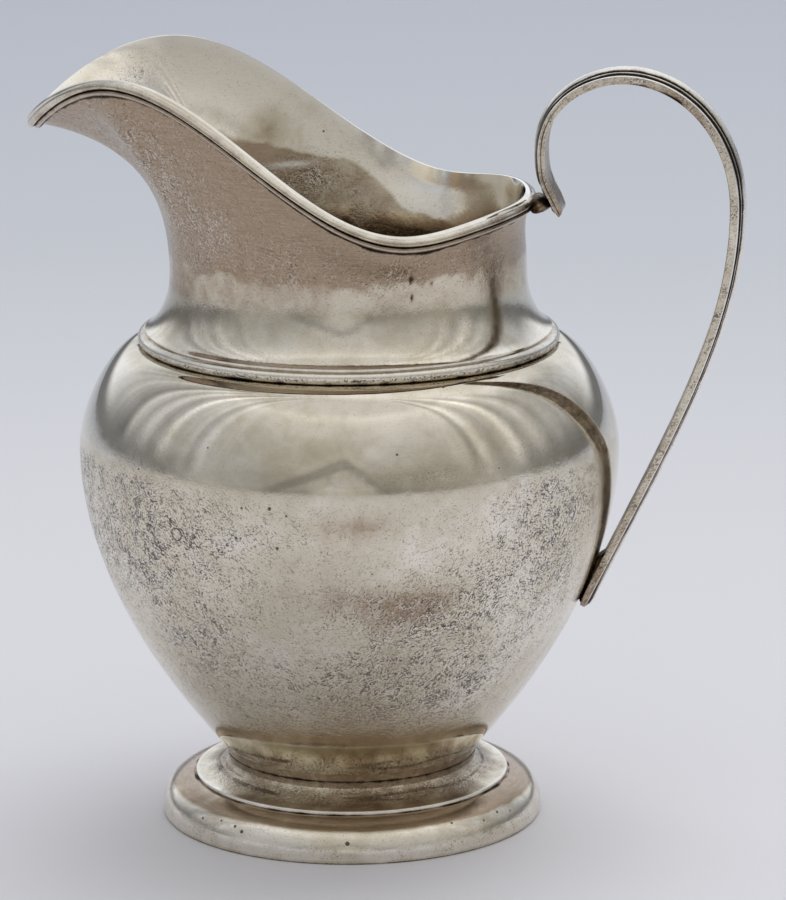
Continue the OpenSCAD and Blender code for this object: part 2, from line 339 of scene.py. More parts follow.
CLEAN = (0.87, 0.82, 0.735, 1)
FILM = (0.65, 0.59, 0.468, 1)
BROWN = (0.335, 0.245, 0.168, 1)
PITTED = (0.10, 0.07, 0.045, 1)
# Near black of dirt and old solder, also used as painted shade in grooves and hollows
NEAR_BLACK = (0.022, 0.017, 0.012, 1)
CRUST = (0.93, 0.90, 0.84, 1)
# Pale colour of worn edges, also used for painted highlights
WORN_AND_HIGHLIGHT = (0.95, 0.93, 0.88, 1)
SOLDER = [(0.36, NEAR_BLACK[:3]), (0.52, (0.13, 0.085, 0.05)), (0.66, (0.3, 0.22, 0.14)),
          (0.8, (0.55, 0.46, 0.35))]
MARKS = ("stain_shade_and_reflection", "pits", "matt", "dirt_and_shade", "edge", "fleck")


def silver(name, gloss=0.035, film=0.0, turned=0.1, spots=(), loops=()):
    """Silver that reads its levels from the mesh: stain, with some painted shade and reflections; pits;
    matt; dirt, with painted shade; edge wear, with painted highlights; and fleck.

    Spots are single deep pits and loops are round scratches, each a place and a radius.
    """
    material, g = new_material(name)
    place = g.millimetres()
    stain_shade_and_reflection, pits, matt, dirt_and_shade, edge, fleck = (g.mark(k) for k in MARKS)
    blotch = g.noise(place, 0.07, 4, 0.6)
    cloud = g.noise(place, 0.34, 6, 0.66, 0.4)
    uneven = g.soft(g.noise(place, 0.55, 4, 0.7, 0.3), 0.38, 0.64, 0.55, 1.2)
    pits = g.math("MULTIPLY", pits, uneven)
    fine = g.noise(place, 4.0, 5, 0.75)
    # Corroded strokes that rise outwards on both sides
    parts = g.add("ShaderNodeSeparateXYZ", {0: place}).outputs
    mirrored = g.add("ShaderNodeCombineXYZ", {0: g.math("ABSOLUTE", parts[0]), 1: parts[1], 2: parts[2]})
    drift = g.add("ShaderNodeTexNoise", {"Vector": place, "Scale": 0.16}).outputs[1]
    bent = g.vector("ADD", mirrored.outputs[0], g.vector("SCALE", drift, scale=6.0))
    along = g.add("ShaderNodeMapping", {"Vector": bent, "Rotation": (0, math.radians(-34), 0),
                                        "Scale": (0.6, 0.35, 0.13)}, vector_type="TEXTURE").outputs[0]
    strokes = g.noise(along, 0.8, 3, 0.62)
    grain = g.math("ADD", g.math("MULTIPLY", strokes, 0.4), g.math("MULTIPLY", fine, 0.6))
    # Level lines of the polishing
    flat = g.add("ShaderNodeMapping", {"Vector": place, "Scale": (0.3, 0.3, 6)}).outputs[0]
    polish = g.noise(flat, 1.3, 4, 0.6)

    # Film over the clean metal, then brown where it is thick
    level = g.math("ADD", g.math("MULTIPLY_ADD", g.math("SUBTRACT", blotch, 0.5), 1.4, stain_shade_and_reflection),
                   g.math("MULTIPLY_ADD", g.math("SUBTRACT", cloud, 0.5), 0.9, film))
    filmed = g.soft(level, -0.05, 0.6)
    browned = g.soft(level, 0.5, 1.25)
    colour = g.blend(browned, g.blend(filmed, CLEAN, FILM), BROWN)
    colour = g.blend(g.soft(polish, 0.3, 0.75, 0.0, 0.25), colour, FILM)

    # Fine corrosion, dark in its hollows and bright on its crests, and scattered round pits
    dark = g.soft(g.math("MULTIPLY_ADD", pits, 0.075, grain), 0.565, 0.605)
    light = g.soft(g.math("MULTIPLY_ADD", pits, -0.09, grain), 0.46, 0.36)
    cell = g.add("ShaderNodeTexVoronoi", {"Vector": place, "Scale": 0.3}).outputs
    size = g.math("MULTIPLY", g.soft(g.math("MULTIPLY_ADD", pits, 0.1, cell["Color"]), 0.74, 1.0), 0.075)
    within = g.soft(g.math("SUBTRACT", cell["Distance"], size), 0.015, -0.02)
    hole = g.math("MULTIPLY", within, g.soft(size, 0.01, 0.03))
    for spot, radius in spots:
        apart = g.math("MULTIPLY_ADD", fine, 0.25, g.vector("DISTANCE", place, tuple(spot), out=1))
        hole = g.math("MAXIMUM", hole, g.soft(apart, radius + 0.22, radius + 0.06))
    for middle, radius in loops:
        apart = g.math("MULTIPLY_ADD", strokes, 0.5, g.vector("DISTANCE", place, tuple(middle), out=1))
        off_line = g.math("ABSOLUTE", g.math("SUBTRACT", apart, radius))
        hole = g.math("MAXIMUM", hole, g.soft(off_line, 0.13, 0.05))
    colour = g.blend(g.math("MULTIPLY", light, g.math("MULTIPLY", pits, 0.75), clamp=True), colour, CLEAN)
    corroded = g.math("MULTIPLY", dark, g.math("MULTIPLY_ADD", pits, 0.75, 0.2), clamp=True)
    colour = g.blend(corroded, colour, PITTED)
    colour = g.blend(g.math("MULTIPLY", hole, 0.95), colour, PITTED)
    # Pale crust
    crust = g.soft(g.math("MULTIPLY_ADD", fleck, 0.2, g.noise(place, 2.6, 3, 0.7, 0.6)), 0.68, 0.74)
    crust = g.math("MULTIPLY", crust, fleck, clamp=True)
    colour = g.blend(g.math("MULTIPLY", crust, 0.7), colour, CRUST)

    # Bright worn edges and painted highlights, then black dirt and painted shade in the seams and grooves
    # over all
    colour = g.blend(g.math("MULTIPLY", edge, 0.75, clamp=True), colour, WORN_AND_HIGHLIGHT)
    seam = g.math("ADD", dirt_and_shade, g.math("MULTIPLY_ADD", g.math("SUBTRACT", fine, 0.5), 0.7,
                                      g.math("MULTIPLY", g.math("SUBTRACT", cloud, 0.5), 0.5)))
    black_dirt_and_shade = g.soft(seam, 0.34, 0.74)
    dusky = g.soft(seam, 0.08, 0.6)
    colour = g.blend(black_dirt_and_shade, g.blend(g.math("MULTIPLY", dusky, 0.6), colour, BROWN), NEAR_BLACK)

    rough = g.math("MULTIPLY_ADD", matt, 0.2, gloss)
    rough = g.math("MULTIPLY_ADD", g.math("SUBTRACT", cloud, 0.45), 0.07, rough)
    for cover, dulling in ((browned, 0.1), (corroded, 0.25), (crust, 0.3), (black_dirt_and_shade, 0.4)):
        rough = g.math("MULTIPLY_ADD", cover, dulling, rough)
    rough = g.math("MINIMUM", g.math("MAXIMUM", rough, 0.025), 0.8)
    metal = g.math("MULTIPLY_ADD", corroded, -0.85, 1.0)

    relief = g.math("MULTIPLY", grain, g.math("MULTIPLY_ADD", pits, -7.0, -0.05))
    for form, height in ((hole, -1.6), (polish, turned), (crust, 0.5)):
        relief = g.math("MULTIPLY_ADD", form, height, relief)
    normal = g.add("ShaderNodeBump", {"Height": relief, "Strength": 0.7, "Distance": 0.03 * MM}).outputs[0]
    g.surface({"Base Color": colour, "Metallic": metal, "Roughness": rough, "Normal": normal})
    return material


def solder(name):
    """Dull, lumpy solder, brown to black."""
    material, g = new_material(name)
    place = g.millimetres()
    lumps = g.noise(place, 1.1, 4, 0.6)
    grain = g.noise(place, 4.5, 3, 0.7)
    colour = g.blend(g.soft(grain, 0.5, 0.75, 0.0, 0.6), g.ramp(lumps, SOLDER), NEAR_BLACK)
    rough = g.math("MULTIPLY_ADD", grain, 0.4, 0.2)
    relief = g.math("MULTIPLY_ADD", grain, 0.5, lumps)
    normal = g.add("ShaderNodeBump", {"Height": relief, "Strength": 0.8, "Distance": 0.15 * MM}).outputs[0]
    g.surface({"Base Color": colour, "Metallic": 1.0, "Roughness": rough, "Normal": normal})
    return material


# Single deep pits on the bowl: bearing, height and radius
BOWL_PITS = [(-22, 54.0, 0.15), (-16, 54.2, 0.22), (-12.5, 53.3, 0.14), (-23.5, 49.6, 0.2),
             (-14.6, 48.6, 0.2), (10.5, 61.5, 0.16), (22, 36.2, 0.24), (-39, 45.6, 0.2),
             (-31, 61.5, 0.1), (5, 45, 0.1), (-8, 30, 0.12), (33, 58.5, 0.12),
             (-49, 57, 0.14), (41, 50, 0.15), (150, 50, 0.2), (-160, 44, 0.22)]
# A round scratch on the bowl, the same way
BOWL_SCRATCH = [(-38.3, 48.8, 1.1)]
# Single deep pits on the foot's ring: bearing, place down its bulge and radius
RING_PITS = [(-38, 0.62, 0.2), (-35, 0.7, 0.25), (-44, 0.58, 0.15), (-52, 0.66, 0.2), (-1, 0.74, 0.3),
             (33, 0.5, 0.15), (45, 0.62, 0.15), (52, 0.55, 0.2), (58, 0.64, 0.15), (140, 0.6, 0.2),
             (-120, 0.6, 0.2)]


def on_bowl(rows):
    """Points on the outside of the bowl, each with its radius."""
    face = np.vstack([trace(side_curve, 80), trace(shoulder_curve, 80, first=1)])
    return [(around(b, np.interp(z, face[:, 1], face[:, 0]), z), radius) for b, z, radius in rows]


def on_ring(rows):
    """Points on the outside of the foot's ring, each with its radius."""
    return [(around(b, *curve(bulge_curve, t)), radius) for b, t, radius in rows]


body_silver = silver("raised_silver", spots=on_bowl(BOWL_PITS), loops=on_bowl(BOWL_SCRATCH))
neck_silver = silver("neck_silver", gloss=0.055, film=0.1)
foot_silver = silver("foot_silver", film=0.08, turned=0.5, spots=on_ring(RING_PITS))
wire_silver = silver("wire_silver", gloss=0.07)
dark_solder = solder("old_solder")

# Bowl

# Soft patches on the bowl: bearing, height, half width in degrees, half height and level
BOWL_STAINS = [
    (2, 52, 7, 1.6, 0.6), (14, 40, 14, 3.4, 0.85), (18, 33, 18, 6, 0.35), (10, 25, 16, 5, 0.3),
    (-40, 27, 18, 7, 0.35), (-20, 38, 15, 5, 0.3), (17, 58.5, 8, 1.6, 0.5), (58, 50, 10, 8, 0.3),
    (-62, 50, 14, 9, 0.05), (-15, 45, 14, 4, 0.3), (0, 17, 60, 4, 0.3), (-20, 62, 18, 3, 0.2),
    (28, 63, 10, 2.5, 0.2), (130, 40, 40, 14, 0.5), (-140, 35, 40, 12, 0.5), (180, 55, 30, 8, 0.3),
    (36, 33, 16, 9, -0.3)]
BOWL_CORROSION = [
    (20, 31, 24, 10, 0.9), (10, 39, 14, 5, 0.5), (42, 43, 22, 12, 0.8), (52, 49, 14, 9, 1.4),
    (-60, 49, 26, 9, 2.4), (-46, 42, 18, 9, 0.8), (-36, 29, 22, 10, 0.8), (0, 26, 22, 5, 0.5),
    (-20, 50, 18, 5, 0.3), (30, 25, 26, 6, 0.7), (120, 45, 45, 12, 0.7), (-130, 38, 45, 14, 0.7),
    (180, 30, 30, 10, 0.5)]
BOWL_CALM = [(76, 47, 15, 16, 1.3)]
# Corrosion ends at a level line, apart from one patch over it
LINE_Z = 57.0
OVER_LINE = [(17, 58.5, 9, 1.3, 0.5)]


def bowl():
    outside = np.vstack([trace(bottom_curve, 24), trace(side_curve, 72, first=1),
                         trace(shoulder_curve, 56, first=1)])
    inside = np.vstack([trace(bottom_curve, 16, bowl_wall), trace(side_curve, 32, bowl_wall, 1),
                        trace(shoulder_curve, 24, bowl_wall, 1)])
    inside[0, 0] = 0
    seat = points([throat_r, seat_z], [throat_r, seat_z - bowl_wall])
    verts, faces = lathe(np.vstack([outside, seat, inside[::-1]]), False)
    outer = np.arange(len(verts)) < (len(outside) - 1) * AROUND
    z = verts[:, 2]
    # Hammered sheet is never quite round
    free = outer * ease((z - waist_z) / 6) * ease((seat_z - z) / 3)
    sway = wander(verts, 0.055, 3.0) * 0.06 + wander(verts, 0.16, 9.0) * 0.012
    verts[:, :2] *= (1 + free * sway / np.maximum(np.hypot(verts[:, 0], verts[:, 1]), 1))[:, None]

    seam = round_distance(verts, girdle_r, seat_z)
    low_seam = round_distance(verts, waist_r, waist_z)
    foot_at = curve(side_curve, handle_foot)
    joint = np.linalg.norm(verts - [foot_at[0], 0, foot_at[1] + 2], axis=1)
    wave = wander(verts, 0.5, 5.0)
    slow = wander(verts, 0.11, 27.0)
    dirt_and_shade = (0.32 + 0.9 * wave) * bump(seam, 0.22 + 0.2 * wave) + 0.9 * bump(low_seam, 0.3)
    dirt_and_shade += 0.55 * bump(joint, 3.4)
    stain_shade_and_reflection = 0.16 + 0.18 * (z < LINE_Z) + patches(verts, BOWL_STAINS)
    stain_shade_and_reflection += 0.5 * bump(seam, 2.4) + 0.35 * bump(low_seam, 4)
    inside_level = 0.55 + 0.4 * wander(verts, 0.08, 21.0)
    below = ease((LINE_Z - 1 + 0.8 * wave - z) / 1.6) * ease((z - 15) / 6)
    level_line = 0.2 + 0.8 * ease((LINE_Z + 0.8 * wave - z) / 1.6)
    pits = 1 - np.exp(-1.2 * patches(verts, BOWL_CORROSION) * (1 + 0.8 * slow))
    pits = pits * ease((z - 14) / 5) * 0.95 * level_line + 0.2 * below
    pits *= 1 - 0.85 * np.clip(patches(verts, BOWL_CALM), 0, 1)
    pits = outer * (pits + patches(verts, OVER_LINE))
    matt = (0.06 + 0.2 * np.clip(pits, 0, 1)) * below
    piece("raised_bowl", "bowl", verts, faces,
          {"dirt_and_shade": outer * dirt_and_shade, "stain_shade_and_reflection": np.where(outer, stain_shade_and_reflection, inside_level),
           "pits": np.where(outer, pits, 0.35), "matt": np.where(outer, matt, 0.6), "edge": 0,
           "fleck": 0.35 * pits * below}, body_silver)


# Foot


def foot_cove():
    # A little round on the step's outer edge
    edge_r = foot_wall / 4
    turn = np.radians(np.linspace(0, 90, 6))
    corner = np.stack([step_r - edge_r + edge_r * np.cos(turn),
                       step_z - edge_r + edge_r * np.sin(turn)], -1)
    base = points([step_r - foot_wall, ring_h], [step_r, ring_h])
    seam = waist - foot_wall * 1.25 * polar(waist_angle - 4)
    inside = trace(cove_curve, 24, foot_wall)[:-3]
    verts, faces = lathe(np.vstack([base, corner, trace(cove_curve, 40), [seam], inside[::-1]]), True)
    r, z = np.hypot(verts[:, 0], verts[:, 1]), verts[:, 2]
    up = z > step_z - 0.3
    wave = wander(verts, 0.4, 2.0)
    lines = ease(wander(verts * [0.09, 0.09, 2.4], 1.0, 23.0) / 0.4)
    off_hollow = r - mix(waist_r, step_r, 0.3)
    dirt_and_shade = 0.9 * bump(round_distance(verts, waist_r, waist_z), 0.6 + 0.3 * wave)
    dirt_and_shade += 0.9 * bump(z - ring_h, 0.3) * (0.75 + 0.6 * wave)
    dirt_and_shade += up * (0.7 * lines * bump(off_hollow, 2.2) - 0.18)
    stain_shade_and_reflection = 0.4 + up * 0.45 * bump(off_hollow, 2.6) + 0.5 * wave
    pits = 0.15 + up * 0.6 * bump(r - mix(waist_r, step_r, 0.35), 1.5)
    # Pale line on the step's rounded edge: painted highlight, with some wear
    edge = bump(round_distance(verts, step_r - 0.1, step_z - 0.05), 0.35)
    piece("foot_cove", "foot_spool", verts, faces,
          {"dirt_and_shade": dirt_and_shade, "stain_shade_and_reflection": stain_shade_and_reflection, "pits": pits, "matt": 0.1, "edge": 0.7 * edge}, foot_silver)


def foot_rim():
    rest_r = ring_r - foot_wall * 0.3
    base = points([ring_r, ring_edge_z], [ring_r, ring_edge_z * 0.35], [ring_r - 0.05, 0.05], [rest_r, 0])
    inside = trace(bulge_curve, 24, -foot_wall)[3:-1]
    under_step = points([step_r - foot_wall, ring_h - foot_wall], [step_r - foot_wall, ring_h])
    profile = np.vstack([trace(bulge_curve, 48), trace(base, 8, first=1), [[rest_r - rest_w, 0]],
                         inside[::-1], under_step])
    verts, faces = lathe(profile, True)
    r, z = np.hypot(verts[:, 0], verts[:, 1]), verts[:, 2]
    outer = z > ring_h - 0.75 * (r - step_r) - 1.6
    wave = wander(verts, 0.35, 14.0)
    dirt_and_shade = (0.85 + 0.5 * wave) * bump(round_distance(verts, step_r, ring_h), 0.36 + 0.25 * wave)
    dirt_and_shade += 0.5 * (z < 0.25)
    stain_shade_and_reflection = 0.05 + 1.15 * ease((step_r + 3.7 - r) / 0.6) + 0.3 * wave + 0.35 * (~outer)
    pits = 0.12 + 0.3 * bump(z - 1.6, 1.0) * (wave > 0)
    piece("foot_rim", "foot_ring", verts, faces,
          {"dirt_and_shade": dirt_and_shade, "stain_shade_and_reflection": stain_shade_and_reflection, "pits": pits, "matt": 0.5 * (~outer), "edge": 0}, foot_silver)


def foot_joint():
    """Fillet of solder in the corner under the bowl."""
    low, high = curve(cove_curve, 0.8), curve(side_curve, 0.035)
    middle = mix(curve(cove_curve, 0.86), curve(side_curve, 0.02), 0.5) + solder_t * np.array([0.7, -0.7])
    hollow = points(low + [0, -0.01], mix(low, middle, 0.6), mix(high, middle, 0.6), high + [0.01, 0])
    verts, faces = lathe(np.vstack([[waist - [0.05, 0]], trace(hollow, 10)]), True)
    lump = wander(verts, 0.9, 4.0)
    verts[:, :2] *= (1 + 0.0015 * lump)[:, None]
    line = bump(verts[:, 2] - mix(low[1], high[1], 0.45), 0.22)
    piece("foot_joint", "foot_solder", verts, faces,
          {"dirt_and_shade": 0.2 + 0.2 * lump + 0.55 * line, "stain_shade_and_reflection": 1.0 + 0.3 * lump, "pits": 0.35, "matt": 0.1,
           "edge": 0}, foot_silver)


def girdle():
    """Half-round wire round the foot of the neck."""
    half = girdle_h / 2
    centre = np.array([girdle_r - half, seat_z + half])
    turn = np.radians(np.linspace(-90, 90, 25))
    arc = centre + half * np.stack([np.cos(turn), np.sin(turn)], -1)
    arc = arc[arc[:, 0] >= flange_r - 1e-6]
    profile = np.vstack([[[flange_r - 0.02, arc[0, 1]]], arc, [[flange_r - 0.02, arc[-1, 1]]]])
    verts, faces = lathe(profile, True)
    z = verts[:, 2] - seat_z
    wave = wander(verts, 0.45, 8.0)
    dirt_and_shade = (0.25 + 0.9 * wave) * bump(z, 0.16 + 0.12 * wave) + 0.35 * bump(z - girdle_h, 0.2)
    # Pale line along the wire's upper curve and a fainter one lower down: painted highlights
    edge = 0.9 * bump(z - girdle_h * 0.8, 0.25) + 0.3 * bump(z - 0.42, 0.1)
    pits = 0.25 + 0.8 * bump(z - 0.65, 0.35)
    piece("girdle", "girdle_wire", verts, faces,
          {"dirt_and_shade": dirt_and_shade, "stain_shade_and_reflection": 0.3 + 0.25 * wave, "pits": pits, "matt": 0.15, "edge": edge}, foot_silver)


# Neck and spout: the lip's plan, height and lean at each turn, and one upright cut at each
turns = np.linspace(0, 360, TURNS, endpoint=False)
half_turn = np.minimum(turns, 360 - turns)
rear_turn = np.radians(half_turn)
behind = np.stack([mouth_back * np.cos(rear_turn), mouth_side * np.sin(rear_turn)], -1)
plan = np.where((half_turn <= 90)[:, None], behind, curve(spout_plan, np.clip(half_turn / 90 - 1, 0, 1)))
plan[:, 1] *= np.where(turns <= 180, 1, -1)
away = plan / np.linalg.norm(plan, axis=1, keepdims=True)
x = plan[:, 0]
rear = mix(lip_low_h, lip_back_h, ease((x - lip_low_x) / (mouth_back - lip_low_x)))
climb = mix(lip_low_h, lip_crest_h, ease((lip_low_x - x) / (lip_low_x + lip_crest_x)))
fall = mix(lip_crest_h, lip_tip_h, np.clip((-lip_crest_x - x) / (spout_reach - lip_crest_x), 0, 1) ** 2)
lip_z = seat_z + np.where(x > lip_low_x, rear, np.where(x > -lip_crest_x, climb, fall))
lean = np.radians(mix(lip_flare, tip_flare, ease((-lip_crest_x - x) / (spout_reach - lip_crest_x))))
lip = np.stack([np.linalg.norm(plan, axis=1), lip_z], -1)
lip_up = np.stack([np.sin(lean), np.cos(lean)], -1)
under_wire = lip - wire_h * lip_up


def stand(cuts):
    """Stands each turn's cut of radius and height up at its bearing."""
    return np.concatenate([cuts[..., :1] * away[:, None, :], cuts[..., 1:]], -1)


# Soft patches on the outside of the neck, as on the bowl: dark runs, brown stains, corrosion and crust, one
# crust patch also a painted bright reflection
NECK_RUNS = [(20, 83.2, 1.0, 1.1, 0.8), (20.6, 80.6, 0.9, 0.8, 0.7), (17.5, 84.6, 1.1, 0.8, 0.6),
             (27, 82.4, 0.9, 0.7, 0.6), (-6, 81.8, 1.2, 0.6, 0.5), (9, 84, 1.3, 0.5, 0.45)]
NECK_STAINS = [(-35, 92, 30, 12, 0.35), (-62, 100, 24, 10, 0.2), (-5, 85, 22, 4, 0.25),
               (10, 88, 10, 3, 0.35), (60, 82, 16, 6, 0.3), (-30, 76, 14, 3, 0.35),
               (-70, 80, 18, 8, 0.4), (150, 85, 60, 10, 0.35)]
NECK_CORROSION = [(-55, 88, 16, 9, 0.3), (-20, 84, 18, 4, 0.3), (14, 83, 10, 3.5, 0.45),
                  (-72, 98, 22, 8, 0.5), (45, 84, 16, 4, 0.25)]
# Pale crust; the patch far to the left near the top also stands for a painted bright reflection
NECK_CRUST_AND_HIGHLIGHT = [(-42, 89, 9, 6, 0.72), (-58, 84, 12, 7, 0.45), (-30, 80, 16, 3, 0.4), (-70, 96, 12, 7, 0.6)]
# Upper edge of the brown inside the mouth, tarnish and a painted reflection of the near inner wall: places
# along the jug, and its height there
BROWN_EDGE_X = [-34, -18, -8, -2.5, 2.5, 5, 14, 30]
BROWN_EDGE_Z = [101, 94.7, 92, 91, 87, 84.5, 82.5, 82]


def neck():
    foot_point = np.broadcast_to([neck_r, neck_z], under_wire.shape)
    run = np.linalg.norm(under_wire - foot_point, axis=1, keepdims=True)
    throat = np.stack([foot_point, foot_point + run * [0, 0.45],
                       under_wire - 0.4 * run * lip_up, under_wire])

    def wall(n_low, n_up, offset):
        """Low and upper part of each cut, beside its curves by an offset."""
        low = trace(flare_curve, n_low, offset)
        up = []
        for k in np.linspace(0, 1, n_up + 1)[1:]:
            t = np.full(TURNS, k)
            up.append(curve(throat, t) + offset * left_of(heading(throat, t)))
        return np.broadcast_to(low, (TURNS, *low.shape)), np.stack(up, 1)

    def fixed(r, z):
        return np.broadcast_to([[r, z]], (TURNS, 1, 2))

    low_out, up_out = wall(24, 52, 0.0)
    low_in, up_in = wall(14, 40, neck_wall)
    arc = np.linspace(0, 1, 9)[None, :, None]
    crown = (lip[:, None] + arc * neck_wall * left_of(lip_up)[:, None]
             + lip_round * np.sin(math.pi * arc) * lip_up[:, None])
    band = mix(under_wire[:, None], lip[:, None], np.linspace(0, 1, 5)[None, 1:-1, None])
    cuts = np.concatenate([fixed(flange_r, seat_z), low_out, up_out, band, crown, up_in[:, ::-1],
                           low_in[:, :0:-1], fixed(throat_r, seat_z + flange_h * 0.8),
                           fixed(throat_r, seat_z)], 1)
    n = cuts.shape[1]
    verts = stand(cuts).reshape(-1, 3)
    faces = quads(TURNS, n, True)
    row = np.tile(np.arange(n), TURNS)
    band_row = 1 + low_out.shape[1] + up_out.shape[1]
    crown_row = band_row + band.shape[1]
    outer = row < band_row
    on_crown = (row >= crown_row) & (row < crown_row + crown.shape[1])
    z = verts[:, 2]
    top = np.repeat(lip_z, n)
    drop = np.linalg.norm(verts - stand(under_wire[:, None]).repeat(n, 1).reshape(-1, 3), axis=1)
    # Uneven sheet, quiet next to the joints
    free = ease((z - seat_z - 4) / 5) * ease((top - z - 2.5) / 5)
    sway = (wander(verts, 0.06, 31.0) * 0.09 + wander(verts, 0.17, 17.0) * 0.018) * free
    verts[:, :2] *= (1 + sway / np.maximum(np.hypot(verts[:, 0], verts[:, 1]), 1))[:, None]

    x, far_side = verts[:, 0], verts[:, 1] > 0

    def spot(at, height, width, stretch=1.0):
        return bump(np.hypot((x - at) / stretch, z - height), width)

    # Outside
    wave = wander(verts, 0.5, 6.0)
    joint = np.linalg.norm(verts - [mouth_back, 0, lip_back_z - 1.5], axis=1)
    dirt_and_shade = 0.95 * bump(drop, 0.55 + 0.35 * wave) + 0.7 * bump(z - seat_z - girdle_h, 0.35)
    dirt_and_shade += 0.7 * bump(joint, 2.2) + patches(verts, NECK_RUNS)
    brown = ease((z - 82 + 1.6 * wave) / 2.4)
    stain_shade_and_reflection = 0.05 + 0.45 * ease((z - 77) / 2.5) + 0.8 * brown + patches(verts, NECK_STAINS)
    pits = 0.08 + 0.16 * brown + patches(verts, NECK_CORROSION)
    # Inside: brown film, painted reflections and painted shade
    lower = ease((top - z) / 16)
    near_side = ease((4 - verts[:, 1]) / 10)
    brown_edge = np.interp(x, BROWN_EDGE_X, BROWN_EDGE_Z)
    # Brown below a wavy line: tarnish film and a painted reflection of the near inner wall
    inside_level = -0.1 + np.maximum(0.35 * near_side, ease((brown_edge + 0.5 * wave - z) / 0.7))
    # Dark round patch high on the far wall: painted reflection
    inside_level += 0.9 * spot(-15, 95.6, 2.8)
    # Browner low down and towards the spout: painted shade
    inside_level += 0.3 * lower * (1 + wander(verts, 0.09, 40.0)) * ease((4 - x) / 8)
    specks = spot(-33, 104, 2.4) + 1.2 * spot(-9, 88.5, 3.4, 1.6)
    inside_pits = 0.08 + 0.35 * lower * bump(facing(verts) - 170, 50) + 0.6 * specks * far_side
    # Painted highlights: glints on the far inner wall, and a worn lip crown made brighter on the far side
    painted_glints = bump(x + 11.5, 3) * bump(z - 90.6, 0.4) + bump(x - 9, 5) * bump(z - 87.2, 1.2)
    edge = on_crown * (0.25 + 0.65 * far_side) + ~outer * painted_glints * far_side
    piece("neck_and_spout", "neck_spout", verts, faces,
          {"dirt_and_shade": outer * dirt_and_shade, "stain_shade_and_reflection": np.where(on_crown, 0.1, np.where(outer, stain_shade_and_reflection, inside_level)),
           "pits": np.where(on_crown, 0, np.where(outer, pits, inside_pits)),
           "matt": outer * (0.02 + 0.25 * brown), "edge": edge,
           "fleck": outer * patches(verts, NECK_CRUST_AND_HIGHLIGHT)}, neck_silver)


def reed(start, end, rise, n):
    """Rounded reed between two grooves, without its last point."""
    t = np.linspace(0, 1, n, endpoint=False)[:, None]
    side = left_of(end - start) / np.linalg.norm(end - start)
    return mix(start, end, t) + rise * np.sin(math.pi * t) ** 0.8 * side


def rim():
    """Wire of two reeds round the outside of the lip."""
    neck_t, half = wire_t - wire_groove, wire_h / 2
    groove, soft = 0.35 * wire_groove, 0.12
    upper = np.array([wire_h - soft, neck_t])
    valley = np.array([half, neck_t - groove])
    lower = np.array([0, neck_t - groove])
    face = np.vstack([reed(upper, valley, -wire_groove, 12),
                      reed(valley, lower, -wire_groove, 12), [lower]])
    section = np.vstack([[[0, 0], [wire_h, 0], [wire_h, neck_t * 0.5]], face])[::-1]
    cuts = (under_wire[:, None] + section[None, :, :1] * lip_up[:, None]
            - section[None, :, 1:] * left_of(lip_up)[:, None])
    n = len(section)
    verts = stand(cuts).reshape(-1, 3)
    faces = quads(TURNS, n, True)
    up, out = np.tile(section[:, 0], TURNS), np.tile(section[:, 1], TURNS)
    wave = wander(verts, 0.5, 12.0)
    joint = np.linalg.norm(verts - [mouth_back + wire_t, 0, lip_back_z - 1], axis=1)
    dirt_and_shade = 0.95 * bump(up - half, 0.24 + 0.06 * wave) * (out > 0.05) + 0.95 * bump(up, 0.32)
    dirt_and_shade += 0.7 * bump(joint, 2.0)
    stain_shade_and_reflection = 0.8 + 0.4 * wave + 0.45 * (up < half)
    # Pale lines on the top of the upper reed and along the lower reed: painted highlights
    edge = 0.5 * bump(up - wire_h + soft, 0.16) + 0.3 * bump(up - half * 0.5, 0.16)
    piece("lip_wire", "rim_wire", verts, faces,
          {"dirt_and_shade": dirt_and_shade, "stain_shade_and_reflection": stain_shade_and_reflection, "pits": 0.3 + 0.3 * wave, "matt": 0.05, "edge": edge},
          wire_silver, crease=50)


# Handle


def strap_section():
    """Cross cut of the strap: lands along the edges, three reeds and a hollow inner face.

    With it come how deep each point is in a groove, and which are on the face or on the inner side.
    """
    w = strap_w / 2
    a, b = w - edge_reed_w, w - edge_reed_w - side_reed_w
    h0, h1, h2 = strap_edge, strap_edge - strap_hollow, strap_edge + strap_step
    marks = points([-w, h0], [-a, h1], [-b, h2], [b, h2], [a, h1], [w, h0])
    rises = [strap_hollow, reed_rise, crown_rise, reed_rise, strap_hollow]
    outside = np.vstack([reed(p, q, k, 14) for p, q, k in zip(marks, marks[1:], rises)] + [marks[-1:]])
    soft = 0.12
    inside_y = np.linspace(w - soft, -w + soft, 17)
    inside = np.stack([inside_y, strap_hollow * (1 - (inside_y / (w - soft)) ** 6)], -1)
    flank = np.linspace(soft, h0 - soft, 13)[:, None]
    near = np.hstack([np.full_like(flank, -w), flank])
    section = np.vstack([outside, near[::-1] * [-1, 1], inside, near])
    groove = np.min(np.abs(section[:, :1] - marks[None, 1:-1, 0]), axis=1)
    order = np.arange(len(section))
    on_face = order < len(outside)
    within = (order >= len(outside) + len(near)) & (order < len(section) - len(near))
    return section - [0, strap_t / 2], np.where(on_face, bump(groove, 0.53), 0), on_face, within


